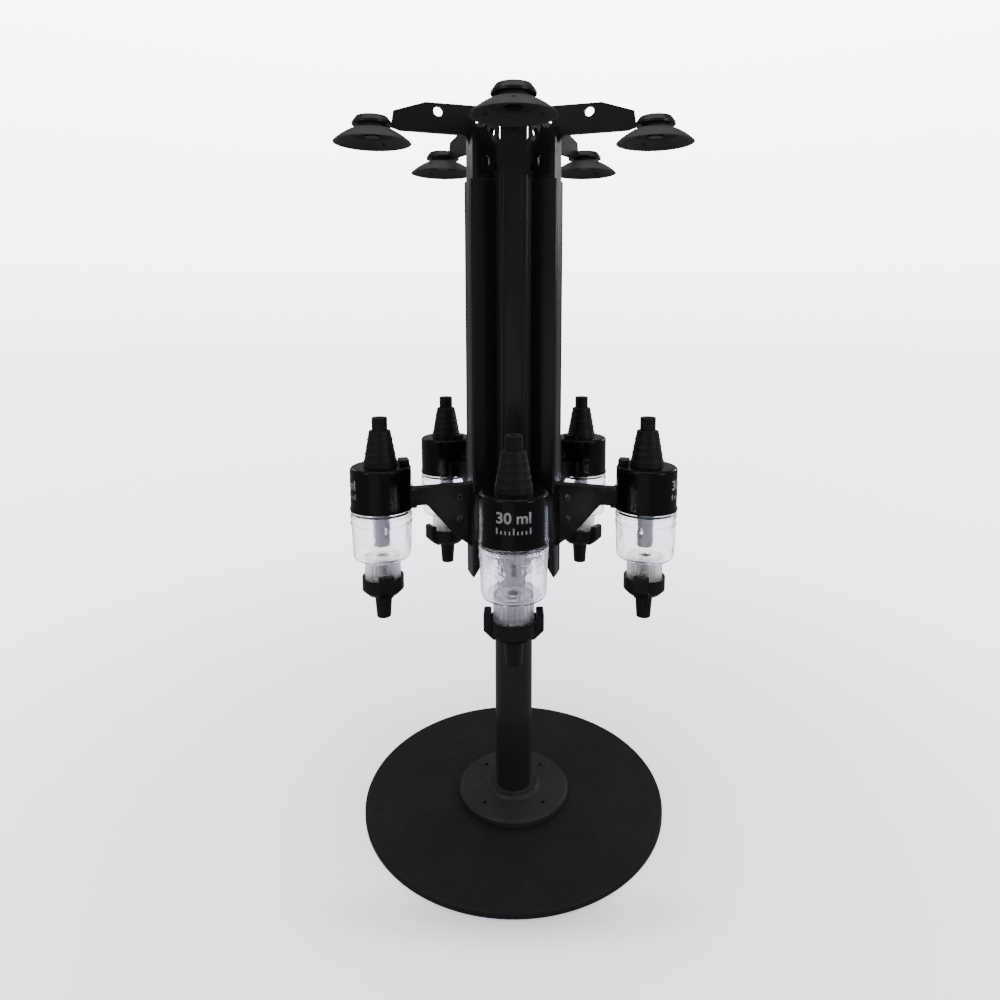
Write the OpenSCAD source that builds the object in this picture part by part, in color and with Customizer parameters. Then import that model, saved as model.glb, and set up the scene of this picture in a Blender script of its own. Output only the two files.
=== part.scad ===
/* [Stand] */
// Diameter of the round base plate
base_d = 310; // [280:1:360]
// Thickness of the base plate
base_h = 6; // [4:0.5:10]
// Bevel round the top edge of the base plate
base_bevel = 1.2; // [0.5:0.1:2]
// Thickness of the rubber pad under the base plate
pad_h = 2; // [1:0.5:4]
// How far the pad's edge stays inside the plate's edge
pad_inset = 4; // [2:1:10]
// Diameter of the flange round the pole's foot
flange_d = 115; // [100:1:140]
// Thickness of the flange
flange_h = 7; // [6:0.5:12]
// Bevel round the top edge of the flange
flange_bevel = 1.8; // [0.5:0.1:3]
// Diameter of the raised shoulder on the flange
shoulder_d = 50; // [44:1:60]
// Height of the raised shoulder
shoulder_h = 2.5; // [1:0.5:6]
// Number of flange screws
screw_n = 4; // [3:1:6]
// Radius of the circle that the flange screws stand on
screw_circle_r = 42; // [36:1:46]
// Diameter of a flange screw's countersunk head
screw_head_d = 10; // [8:0.5:12]
// Depth of the cone under a flange screw's head
screw_cone_h = 3; // [2:0.5:4]
// Diameter of a flange screw's shank
screw_d = 5; // [4:0.5:6]
// Width across the flats of the hexagon socket in a screw head
socket_flats = 3; // [2.5:0.5:4]
// Depth of the hexagon socket
socket_h = 2; // [1:0.5:2.5]
// Outer diameter of the pole
pole_d = 38; // [34:0.5:40]
// Wall of the pole
pole_wall = 2.5; // [1.5:0.5:4]
// Distance of the pole's upper end below the column's top
pole_drop = 59.5; // [50:0.5:80]
// Outer diameter of the thrust collar that carries the carousel
collar_d = 49; // [46:0.5:50]
// Height of the thrust collar
collar_h = 8; // [6:0.5:12]
// Height of a guide bush
bush_h = 18; // [10:1:30]

/* [Column] */
// Number of bottle stations
station_n = 5; // [5:1:5]
// Height of the column's underside above the base plate
column_rise = 254; // [250:1:300]
// Height of the column
column_h = 372.5; // [340:0.5:400]
// Outer diameter of the core tube
core_d = 50; // [49:0.5:52]
// Wall of the core tube
core_wall = 3; // [2:0.5:3.5]
// Distance of an upright's outer face from the turning axis
upright_r = 45.5; // [43:0.5:48]
// Width of an upright
upright_w = 26; // [24:0.5:28]
// Thickness of an upright's side walls
upright_side = 2.5; // [2:0.1:3]
// Thickness of an upright's outer wall
upright_face = 4; // [3:0.5:5]
// How far an upright's pointed tip hangs below the column's underside
upright_tip_drop = 10; // [6:1:16]
// Height of an upright's lower end at the core tube above the column's underside
upright_heel_h = 23; // [15:1:28]
// Radius of the two outer corners of an upright's section
upright_corner = 2; // [1:0.5:3]
// Depth of the two grooves along an upright's outer face
flute_h = 0.8; // [0.4:0.1:1.2]
// Width of a groove along an upright's outer face
flute_w = 1.6; // [1:0.1:2.5]
// Distance of each groove from the middle of the face
flute_y = 8.2; // [7:0.1:9]

/* [Bracket hub] */
// Radius of the hub between the uprights
hub_r = 49.5; // [48:0.5:54]
// Height of the hub's underside above the column's underside
hub_rise = 30; // [26:1:40]
// Height of the hub
hub_h = 46; // [40:1:52]
// Thickness of a gusset wing
wing_t = 12; // [8:0.5:16]
// Height of a wing's top edge above the hub's top
wing_rise = 8; // [5:0.5:12]
// Height of a wing's neck
wing_neck_h = 17; // [12:0.5:22]
// Length of a wing's neck inward from the measure's body
wing_neck_l = 14; // [8:1:20]
// Distance of the lower bend of a wing from the upright
wing_knee_l = 16.5; // [12:0.5:22]
// Height of the lower bend of a wing above the hub's underside
wing_knee_h = 4; // [2:0.5:8]
// How far a wing's lowest corner hangs below the hub's underside
wing_root_drop = 9; // [4:0.5:12]
// Rounding of a wing's corners
wing_round = 3; // [1:0.5:5]
// Width of the cradle at a wing's end
cradle_w = 26; // [20:1:32]
// Radial depth of the cradle
cradle_t = 7; // [5:0.5:10]

/* [Measure] */
// Distance of each measure and cup from the turning axis
station_r = 132; // [128:0.5:136]
// Outer diameter of a measure's body
body_d = 57; // [54:0.5:60]
// Height of the body
body_h = 40.5; // [36:0.5:46]
// Rounding of the body's edges
body_round = 3; // [1:0.5:5]
// Wall of the body
body_wall = 2.5; // [2:0.5:4]
// Thickness of the body's top
body_roof = 6; // [4:0.5:8]
// Diameter of the bead round the body's lower edge
bead_d = 58.6; // [57.6:0.2:61]
// Height of the bead
bead_h = 3; // [2:0.5:5]
// Radial length of the lug on the body's top
lug_l = 9.5; // [7:0.5:10]
// Width of the lug
lug_w = 15; // [10:0.5:20]
// Height of the lug above the body's top
lug_h = 5; // [4:0.5:8]
// Rounding of the lug's corners
lug_round = 2; // [1:0.5:3]
// Bore of the liquid passage through body and stopper
passage_d = 7; // [5:0.5:9]
// Outer diameter of the clear chamber at its top
chamber_d = 57.5; // [54:0.5:58]
// Outer diameter of the clear chamber at its bottom
chamber_low_d = 54; // [46:0.5:56]
// Wall of the clear chamber
chamber_wall = 2; // [1.5:0.5:2.5]
// How far the chamber's spigot reaches up inside the body
spigot_h = 7; // [5:0.5:10]
// Height of the clear chamber below the body
chamber_h = 48; // [42:0.5:54]
// Rounding of the chamber's bottom edge
chamber_round = 4; // [3:0.5:8]
// Length of the chamber's neck
neck_l = 22; // [18:0.5:26]
// Outer diameter of the chamber's neck over its ribs
neck_d = 34; // [30:0.5:36]
// Number of ribs round the neck
rib_n = 28; // [16:1:32]
// Depth of the grooves between the ribs
rib_h = 0.7; // [0.4:0.1:1]
// Height of a raised ring round the chamber
ring_h = 1.4; // [1:0.2:2]
// How far a raised ring stands out
ring_out = 0.6; // [0.4:0.1:1]
// Number of raised rings
ring_n = 2; // [1:1:3]
// Spacing of the raised rings
ring_pitch = 7; // [5:0.5:9]
// Outer diameter of the metering tube
tube_d = 15.4; // [14:0.2:17]
// Wall of the metering tube
tube_wall = 2; // [1.5:0.5:3]
// Room between the pressed valve stem and the metering tube
tube_room = 2; // [1:0.5:4]
// Number of side windows in the metering tube
window_n = 3; // [2:1:4]
// Width of a window in the metering tube
window_w = 4; // [3:0.5:5]
// Height of a window in the metering tube
window_h = 10; // [8:0.5:14]
// Height of the windows' lower edges above the tube's end
window_rise = 8; // [5:0.5:12]

/* [Stopper] */
// Diameter of the stopper's cone at its foot
stopper_d = 32; // [28:0.5:34]
// Diameter of the stopper's cone at its top
stopper_top_d = 20; // [18:0.5:22]
// Height of the stopper's cone
stopper_h = 33.5; // [28:0.5:38]
// Diameter of the stopper's nose
nose_d = 14.5; // [12:0.5:16]
// Height of the nose above the cone
nose_h = 12.5; // [9:0.5:18]
// Number of sealing fins on the cone
fin_n = 4; // [2:1:5]
// How far a fin stands out
fin_out = 0.9; // [0.5:0.1:1.5]
// Height of a fin
fin_h = 1.8; // [1:0.1:2.5]

/* [Press yoke] */
// Width of the yoke over both its arms
yoke_w = 50; // [48:0.5:54]
// Thickness of a yoke's arm
yoke_arm_t = 6.5; // [5:0.5:7]
// Radial depth of the yoke's arms
yoke_l = 14; // [10:0.5:18]
// Room left under the chamber's neck when the yoke is pressed
yoke_room = 1; // [0.5:0.1:3]
// Slant across the yoke's lower corners
yoke_corner = 8; // [4:0.5:9]
// Bevel round the lower edge of the yoke's cup
yoke_cup_bevel = 4.5; // [2:0.5:4.5]
// Height of the bar between the yoke's arms
yoke_bar_h = 11; // [8:0.5:12]
// Height of the yoke's arms
yoke_h = 23; // [18:0.5:26]
// Outer diameter of the yoke's cup below the chamber's neck
yoke_cup_d = 39.5; // [38.5:0.5:42]
// Height of the yoke's cup
yoke_cup_h = 17; // [14:0.5:19]
// Thickness of the cup's floor
yoke_floor_h = 5; // [4:0.5:5]
// Gap between the yoke's cup and the chamber's neck
yoke_gap = 0.6; // [0.4:0.1:1]
// Outer diameter of the spout
spout_d = 17; // [14:0.5:19]
// Length of the spout below the yoke
spout_l = 24; // [18:0.5:32]
// Diameter at the spout's lower end
spout_tip_d = 13.5; // [11:0.5:15]
// Outer diameter of the valve stem
stem_d = 12; // [10:0.5:12.5]
// How far the valve stem stands into the chamber
stem_rise = 1; // [0.5:0.1:3]
// How far the yoke travels upward
press_travel = 8; // [4:0.5:8]
// Rounding of the yoke's other corners
yoke_round = 1.6; // [0.5:0.1:2]

/* [Bottle arm] */
// Height of the arm at the column
arm_h = 26.5; // [24:0.5:34]
// Thickness of the arm
arm_t = 5; // [4:0.5:8]
// How far the arm's top falls before its steeper part
arm_fall_h = 0.5; // [0.5:0.5:3]
// Length of the steeper fall of the arm's top
arm_fall_l = 29; // [20:1:36]
// How far the arm's top falls in all
arm_end_drop = 10; // [8:0.5:12]
// Distance of the arm's upper end from the head's middle
arm_end_gap = 19; // [17:0.5:22]
// Distance from the head's middle at which the arm's underside starts to rise to the head
arm_low_gap = 25; // [23:0.5:32]
// Height of the arm's underside above the column's top
leg_h = 40; // [36:0.5:48]
// Fillet between the arm and its leg
arm_fillet = 9; // [4:0.5:14]
// Distance of the leg's inner face from the axis
leg_r = 20; // [17:0.5:22]
// Length of the slant across the leg's inner upper corner
leg_cut_l = 7; // [4:0.5:7]
// Distance of the slant's upper end below the arm's top
leg_cut_drop = 19; // [12:0.5:20]
// Height of the slant
leg_cut_h = 14; // [8:0.5:18]
// Width of the flange along the leg's outer face
leg_flange_w = 24; // [21:0.5:26]
// Thickness of the flange
leg_flange_t = 4.5; // [3:0.5:6]
// How far the flange stands out past the tongue
leg_flange_out = 2.3; // [0:0.1:4]
// How far the flange reaches up past the arm's underside
leg_flange_rise = 6; // [0:0.5:12]
// How far the tongue's upper end reaches up into the leg
tongue_lap = 4; // [2:0.5:8]
// Distance of the tongue's inner face from the axis
tongue_r = 28; // [27:0.5:31]
// Length of the tongue that stays in the upright when the arm is raised
tongue_hold = 64.5; // [40:0.5:90]
// How far the arm can be raised for a taller bottle
arm_travel = 40; // [20:1:60]
// Diameter of the two round holes through the arm
arm_hole_d = 9; // [6:0.5:10]
// Distance of the outer hole from the bend in the arm's top
arm_hole_l = 11.5; // [7:0.5:16]
// Distance of the outer hole below the arm's top
arm_hole_drop = 7.5; // [7:0.5:14]
// Distance of the inner hole from the leg's inner face
leg_hole_l = 13; // [12:0.5:14]
// Distance of the inner hole below the arm's top
leg_hole_drop = 14.5; // [10:0.5:20]
// Distance of the slot from the leg's inner face
slot_l = 8; // [5:0.5:14]
// Distance of the slot's middle below the arm's underside
slot_drop = 21.5; // [16:0.5:28]
// Width of the slot
slot_w = 7; // [5:0.5:8]
// Height of the slot
slot_h = 10.5; // [8:0.5:14]
// Diameter of the round head at the arm's end
head_d = 35.5; // [33:0.5:38]
// Height of the head
head_h = 7; // [6:0.5:8]
// Height of the head's top above the arm's underside
head_rise = 9.5; // [8:0.5:12]
// Diameter of the flat on the head's top
head_flat_d = 28; // [22:0.5:31]
// Roof of the hollow inside the head
head_roof = 2; // [1.5:0.5:3]
// Diameter of the guide pin under the head
pin_d = 8; // [7:0.5:9]
// Diameter of the pin's retaining head
pin_head_d = 13; // [12:0.5:15]
// Thickness of the pin's retaining head
pin_head_h = 2; // [1.5:0.5:3]

/* [Bottle cup] */
// Diameter of the cup's rim
cup_d = 69; // [66:0.5:74]
// Height of the cup from its rim to its shoulder
cup_h = 11.4; // [9:0.2:14]
// Wall of the cup
cup_wall = 2.5; // [2:0.5:3]
// Height of the plate in the cup above the rim
cup_plate_rise = 7; // [5:0.5:7.5]
// Thickness of the plate in the cup
cup_plate_h = 2; // [1.5:0.5:3]
// Diameter of the flat on the underside of the plate in the cup
cup_flat_d = 40; // [34:1:44]
// Diameter of the cup's shoulder
cup_shoulder_d = 34; // [30:0.5:35]
// Form of the cup's skirt, from 1 for a round dome to 2 for a straight cone
cup_flare = 1.7; // [1:0.1:2]
// Diameter of the sleeve that slides in the arm's head
sleeve_d = 24; // [23:0.2:25]
// Wall of the sleeve
sleeve_wall = 2.4; // [2:0.2:3]
// How far the cup travels upward
cup_travel = 3; // [2:0.5:3]
// Number of small holes round the cup
vent_n = 3; // [2:1:6]
// Diameter of a small hole
vent_d = 4; // [3:0.5:5]
// Distance of the small holes from the cup's middle
vent_r = 26; // [24:0.5:28]

/* [Springs] */
// Wire of the cup spring
cup_wire = 1.2; // [1:0.1:1.4]
// Mean radius of the cup spring
cup_coil_r = 7.6; // [7:0.1:8.4]
// Turns of the cup spring
cup_turns = 3; // [2:0.5:3]
// Wire of the valve spring
valve_wire = 1.2; // [1:0.1:1.4]
// Mean radius of the valve spring
valve_coil_r = 9.2; // [8.6:0.1:10]
// Turns of the valve spring
valve_turns = 6; // [4:0.5:6]

/* [Fits] */
// Gap between pieces that move past one another
free_gap = 0.3; // [0.3:0.05:0.5]
// Radial clearance of a running fit
running_fit = 0.05; // [0.02:0.01:0.1]

/* [Hidden] */
STATIONS = ["front", "right", "rear_right", "rear_left", "left"];

$fn = 96;
// Every cutting shape runs past the faces that it opens by this much
over = 1;
// Arc steps on a rounded corner
corner_steps = 6;
front_turn = -90;
station_turn = 360 / station_n;

base_top_z = pad_h + base_h;
flange_top_z = base_top_z + flange_h;
column_z = base_top_z + column_rise;
column_top_z = column_z + column_h;
pole_top_z = column_top_z - pole_drop;
upright_tip_z = column_z - upright_tip_drop;
upright_heel_z = column_z + upright_heel_h;
hub_z = column_z + hub_rise;
hub_top_z = hub_z + hub_h;
wing_root_z = hub_z - wing_root_drop;
wing_knee_z = hub_z + wing_knee_h;
wing_top_z = hub_top_z + wing_rise;
wing_neck_z = wing_top_z - wing_neck_h;
body_z = wing_neck_z;
body_top_z = body_z + body_h;
chamber_z = body_z - chamber_h;
neck_z = chamber_z - neck_l;
stem_top_z = chamber_z + stem_rise;
tube_z = stem_top_z + press_travel + tube_room;
stopper_step_z = body_top_z + stopper_h;
nose_top_z = stopper_step_z + nose_h;
yoke_floor_z = neck_z - press_travel - yoke_room;
yoke_z = yoke_floor_z - yoke_floor_h;
yoke_bar_z = yoke_z + yoke_bar_h;
yoke_top_z = yoke_z + yoke_h;
yoke_cup_z = yoke_z + yoke_cup_h;
spout_z = yoke_z - spout_l;
leg_z = column_top_z + free_gap;
arm_z = column_top_z + leg_h;
arm_top_z = arm_z + arm_h;
arm_fall_z = arm_top_z - arm_fall_h;
arm_end_z = arm_top_z - arm_end_drop;
arm_hole_z = arm_top_z - arm_hole_drop;
leg_hole_z = arm_top_z - leg_hole_drop;
leg_cut_top_z = arm_top_z - leg_cut_drop;
leg_cut_z = leg_cut_top_z - leg_cut_h;
slot_z = arm_z - slot_drop;
tongue_z = column_top_z - arm_travel - tongue_hold;
head_top_z = arm_z + head_rise;
head_z = head_top_z - head_h;
head_roof_z = head_top_z - head_roof;
cup_shoulder_z = head_z - cup_travel - 2 * free_gap;
cup_z = cup_shoulder_z - cup_h;
cup_plate_z = cup_z + cup_plate_rise;
cup_plate_top_z = cup_plate_z + cup_plate_h;
sleeve_top_z = head_roof_z - cup_travel - free_gap;

pole_r = pole_d / 2;
core_r = core_d / 2;
core_bore_r = core_r - core_wall;
upright_half = upright_w / 2;
channel_half = upright_half - upright_side;
channel_r = upright_r - upright_face;
body_r = body_d / 2;
chamber_r = chamber_d / 2;
chamber_low_r = chamber_low_d / 2;
neck_r = neck_d / 2;
neck_bore_r = neck_r - rib_h - chamber_wall;
tube_r = tube_d / 2;
stem_r = stem_d / 2;
passage_r = passage_d / 2;
arm_w = upright_w - 2 * upright_side - 2 * free_gap;
leg_face_r = channel_r - free_gap;
leg_hole_r = leg_r + leg_hole_l;
slot_r = leg_r + slot_l;
leg_flange_r = leg_face_r + leg_flange_out;
leg_cut_r = leg_r + leg_cut_l;
head_r = head_d / 2;
sleeve_r = sleeve_d / 2;
cup_r = cup_d / 2;
pin_r = pin_d / 2;
inner_edge_r = station_r - body_r;
wing_neck_r = inner_edge_r - wing_neck_l;
wing_knee_r = upright_r + wing_knee_l;
arm_end_r = station_r - arm_end_gap;
arm_low_r = station_r - arm_low_gap;
arm_fall_r = arm_end_r - arm_fall_l;
arm_hole_r = arm_fall_r - arm_hole_l;

// A circle through the corners of a hexagon with these flats
function hex_r(flats) = flats / 2 / cos(30);
function unit(v) = v / norm(v);
function turn_between(a, b) = (b - a + 540) % 360 - 180;
function bend(a, b, c, r, steps) =
    let (u = unit(a - b), w = unit(c - b), half = acos(max(-1, min(1, u * w))) / 2)
    let (mid = b + unit(u + w) * r / sin(half))
    let (p = b + u * r / tan(half) - mid, q = b + w * r / tan(half) - mid)
    let (start = atan2(p[1], p[0]), sweep = turn_between(atan2(p[1], p[0]), atan2(q[1], q[0])))
    [for (i = [0:steps]) mid + r * [cos(start + sweep * i / steps), sin(start + sweep * i / steps)]];
// Outline through corners given as [x, y, rounding]
function rounded(corners) =
    let (n = len(corners), flat = [for (c = corners) [c[0], c[1]]])
    [for (i = [0:n - 1]) each corners[i][2] == 0
        ? [flat[i]]
        : bend(flat[(i + n - 1) % n], flat[i], flat[(i + 1) % n], corners[i][2], corner_steps)];

module at_station(name) {
    rotate(front_turn + station_turn * search([name], STATIONS)[0]) children();
}

module at_optic(name) {
    at_station(name) translate([station_r, 0, 0]) children();
}

// A ring or disc between two heights, with its own radii
module ring_solid(outer, inner, low, high) {
    rotate_extrude() polygon([[inner, low], [outer, low], [outer, high], [inner, high]]);
}

// A plate with an outline in the radial plane, centred on the station's middle plane
module radial_plate(outline, thickness) {
    translate([0, thickness / 2, 0]) rotate([90, 0, 0]) linear_extrude(thickness) polygon(outline);
}

module cross_bore(r, d, z, length) {
    translate([r, length / 2, z]) rotate([90, 0, 0]) cylinder(d = d, h = length);
}

module base_pad() {
    color("#202020") cylinder(r = base_d / 2 - pad_inset, h = pad_h);
}

module base_plate() {
    color("#1b1b1c") difference() {
        rotate_extrude() polygon([
            [0, pad_h],
            [base_d / 2, pad_h],
            [base_d / 2, base_top_z - base_bevel],
            [base_d / 2 - base_bevel, base_top_z],
            [0, base_top_z]
        ]);
        screw_places() cylinder(d = screw_d, h = base_top_z + over);
    }
}

module screw_places() {
    for (i = [0:screw_n - 1])
        rotate((i + 0.5) * 360 / screw_n) translate([screw_circle_r, 0, 0]) children();
}

module base_flange() {
    color("#222223") difference() {
        rotate_extrude() polygon([
            [pole_r, base_top_z],
            [flange_d / 2, base_top_z],
            [flange_d / 2, flange_top_z - flange_bevel],
            [flange_d / 2 - flange_bevel, flange_top_z],
            [shoulder_d / 2 + shoulder_h, flange_top_z],
            [shoulder_d / 2, flange_top_z + shoulder_h],
            [pole_r, flange_top_z + shoulder_h]
        ]);
        screw_places() rotate_extrude() polygon(screw_outline(flange_top_z + over));
    }
}

// Half the outline of a countersunk screw, whose head reaches up to the height top
function screw_outline(top) = [
    [0, pad_h],
    [screw_d / 2, pad_h],
    [screw_d / 2, flange_top_z - screw_cone_h],
    [screw_head_d / 2, flange_top_z],
    [screw_head_d / 2, top],
    [0, top]
];

module flange_screws() {
    color("#3a3a3c") screw_places() difference() {
        rotate_extrude() polygon(screw_outline(flange_top_z));
        translate([0, 0, flange_top_z - socket_h])
            cylinder(r = hex_r(socket_flats), h = socket_h + over, $fn = 6);
    }
}

module pole() {
    color("#1d1d1e") ring_solid(pole_r, pole_r - pole_wall, base_top_z, pole_top_z);
}

module thrust_collar() {
    color("#8d8f92") ring_solid(collar_d / 2, pole_r, column_z - free_gap - collar_h, column_z - free_gap);
}

module guide_bushes() {
    color("#d8d4c8") for (low = [column_z, pole_top_z - bush_h])
        ring_solid(core_bore_r, pole_r + running_fit, low, low + bush_h);
}

module core_tube() {
    color("#151516") rotate_extrude() polygon([
        [core_bore_r, column_z],
        [core_r, column_z],
        [core_r, column_top_z],
        [0, column_top_z],
        [0, column_top_z - core_wall],
        [core_bore_r, column_top_z - core_wall]
    ]);
}

// Outline of an upright's section, seen from above
module upright_section() {
    difference() {
        polygon(rounded([
            [0, -upright_half, 0],
            [upright_r, -upright_half, upright_corner],
            [upright_r, upright_half, upright_corner],
            [0, upright_half, 0]
        ]));
        translate([-over, -channel_half]) square([channel_r + over, 2 * channel_half]);
        circle(r = core_r);
        for (side = [-1, 1])
            translate([upright_r - flute_h, side * flute_y - flute_w / 2]) square([flute_h + over, flute_w]);
    }
}

module upright(name) {
    color("#1a1a1b") at_station(name) difference() {
        translate([0, 0, upright_tip_z]) linear_extrude(column_top_z - upright_tip_z) upright_section();
        radial_plate([
            [0, upright_tip_z - over],
            [upright_r + over, upright_tip_z - over],
            [upright_r, upright_tip_z],
            [core_r, upright_heel_z],
            [0, upright_heel_z]
        ], upright_w + 2 * over);
    }
}

module bracket_hub() {
    color("#191919") difference() {
        union() {
            translate([0, 0, hub_z]) cylinder(r = hub_r, h = hub_top_z - hub_z);
            for (name = STATIONS) at_station(name) wing();
        }
        translate([0, 0, wing_root_z - over]) cylinder(r = core_r, h = wing_top_z - wing_root_z + 2 * over);
        for (name = STATIONS) at_station(name) {
            translate([0, -upright_half, wing_root_z - over])
                cube([upright_r, upright_w, wing_top_z - wing_root_z + 2 * over]);
            translate([station_r, 0, wing_neck_z - over])
                cylinder(r = body_r, h = wing_top_z - wing_neck_z + 2 * over);
            translate([station_r, 0, body_z - over])
                cylinder(r = bead_d / 2, h = bead_h + over);
        }
    }
}

module wing() {
    radial_plate(rounded([
        [upright_r, wing_root_z, 0],
        [wing_knee_r, wing_knee_z, wing_round],
        [wing_neck_r, wing_neck_z, wing_round],
        [inner_edge_r + cradle_t, wing_neck_z, 0],
        [inner_edge_r + cradle_t, wing_top_z, 0],
        [upright_r, wing_top_z, 0]
    ]), wing_t);
    translate([inner_edge_r - cradle_t / 2, -cradle_w / 2, wing_neck_z])
        cube([1.5 * cradle_t, cradle_w, wing_top_z - wing_neck_z]);
}

module measure_body(name) {
    color("#161617") at_optic(name) difference() {
        union() {
            rotate_extrude() polygon(rounded([
                [0, body_z, 0],
                [bead_d / 2, body_z, 0],
                [bead_d / 2, body_z + bead_h / 2, 0],
                [body_r, body_z + bead_h, 0],
                [body_r, body_top_z, body_round],
                [0, body_top_z, 0]
            ]));
            translate([-body_r + lug_round, -lug_w / 2, body_top_z - body_round])
                linear_extrude(lug_h + body_round) polygon(rounded([
                    [0, 0, lug_round],
                    [lug_l, 0, lug_round],
                    [lug_l, lug_w, lug_round],
                    [0, lug_w, lug_round]
                ]));
        }
        translate([0, 0, body_z - over])
            cylinder(r = body_r - body_wall, h = body_top_z - body_roof - body_z + over);
        cylinder(r = passage_r, h = body_top_z + over);
    }
}

module measure_chamber(name) {
    spigot_r = body_r - body_wall;
    ring_slope = (chamber_r - chamber_low_r) / (body_z - chamber_z);
    color("#dfe8ec", 0.45) at_optic(name) difference() {
        union() {
            rotate_extrude() polygon(rounded([
                [0, chamber_z, 0],
                [chamber_low_r, chamber_z, chamber_round],
                [chamber_r, body_z, 0],
                [spigot_r, body_z, 0],
                [spigot_r, body_z + spigot_h, 0],
                [0, body_z + spigot_h, 0]
            ]));
            for (i = [1:ring_n])
                ring_solid(
                    chamber_r - i * ring_pitch * ring_slope + ring_out,
                    stem_r,
                    body_z - i * ring_pitch,
                    body_z - i * ring_pitch + ring_h
                );
            translate([0, 0, neck_z]) linear_extrude(chamber_z + chamber_wall - neck_z) polygon([
                for (i = [0:2 * rib_n - 1])
                    let (a = i * 180 / rib_n, r = neck_r - (i % 2) * rib_h)
                    [r * cos(a), r * sin(a)]
            ]);
        }
        rotate_extrude() polygon(rounded([
            [0, chamber_z + chamber_wall, 0],
            [chamber_low_r - chamber_wall, chamber_z + chamber_wall, chamber_round - chamber_wall],
            [chamber_r - chamber_wall, body_z - 2 * chamber_wall, 0],
            [spigot_r - chamber_wall, body_z - chamber_wall, 0],
            [spigot_r - chamber_wall, body_z + spigot_h + over, 0],
            [0, body_z + spigot_h + over, 0]
        ]));
        translate([0, 0, neck_z - over]) cylinder(r = neck_bore_r, h = chamber_z - neck_z + over);
        translate([0, 0, chamber_z - over]) cylinder(r = stem_r + free_gap, h = chamber_wall + 2 * over);
    }
}

module metering_tube(name) {
    roof_z = body_top_z - body_roof;
    color("#8e9194") at_optic(name) difference() {
        ring_solid(tube_r, tube_r - tube_wall, tube_z, roof_z);
        for (i = [0:window_n - 1])
            rotate(i * 360 / window_n) translate([0, -window_w / 2, tube_z + window_rise])
                cube([tube_r + over, window_w, window_h]);
    }
}

module bottle_stopper(name) {
    cone_h = stopper_step_z - body_top_z;
    fin_step = cone_h / (fin_n + 1);
    color("#101010") at_optic(name) difference() {
        union() {
            translate([0, 0, body_top_z]) cylinder(d1 = stopper_d, d2 = stopper_top_d, h = cone_h);
            ring_solid(nose_d / 2, passage_r / 2, body_top_z, nose_top_z);
            for (i = [1:fin_n]) {
                fin_r = (stopper_d + (stopper_top_d - stopper_d) * i / (fin_n + 1)) / 2;
                translate([0, 0, body_top_z + i * fin_step - fin_h])
                    cylinder(r1 = fin_r + fin_out, r2 = fin_r, h = fin_h);
            }
        }
        translate([0, 0, body_top_z - over]) cylinder(r = passage_r, h = nose_top_z - body_top_z + 2 * over);
    }
}

module press_yoke(name) {
    arm_in = yoke_w / 2 - yoke_arm_t;
    color("#141415") at_optic(name) difference() {
        union() {
            difference() {
                union() {
                    translate([-yoke_l / 2, 0, 0]) rotate([90, 0, 90]) linear_extrude(yoke_l) polygon(rounded([
                        [-yoke_w / 2, yoke_z + yoke_corner, 0],
                        [-yoke_w / 2 + yoke_corner, yoke_z, 0],
                        [yoke_w / 2 - yoke_corner, yoke_z, 0],
                        [yoke_w / 2, yoke_z + yoke_corner, 0],
                        [yoke_w / 2, yoke_top_z, yoke_round],
                        [arm_in, yoke_top_z, yoke_round],
                        [arm_in, yoke_bar_z, 0],
                        [-arm_in, yoke_bar_z, 0],
                        [-arm_in, yoke_top_z, yoke_round],
                        [-yoke_w / 2, yoke_top_z, yoke_round]
                    ]));
                    rotate_extrude() polygon([
                        [0, yoke_z],
                        [yoke_cup_d / 2 - yoke_cup_bevel, yoke_z],
                        [yoke_cup_d / 2, yoke_z + yoke_cup_bevel],
                        [yoke_cup_d / 2, yoke_cup_z],
                        [0, yoke_cup_z]
                    ]);
                    translate([0, 0, spout_z]) cylinder(d1 = spout_tip_d, d2 = spout_d, h = yoke_z - spout_z);
                }
                translate([0, 0, yoke_floor_z]) cylinder(r = neck_r + yoke_gap, h = yoke_top_z - yoke_floor_z + over);
            }
            translate([0, 0, yoke_z]) cylinder(r = stem_r, h = stem_top_z - yoke_z);
        }
        translate([0, 0, spout_z - over]) cylinder(r = passage_r, h = stem_top_z - spout_z + 2 * over);
    }
}

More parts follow.
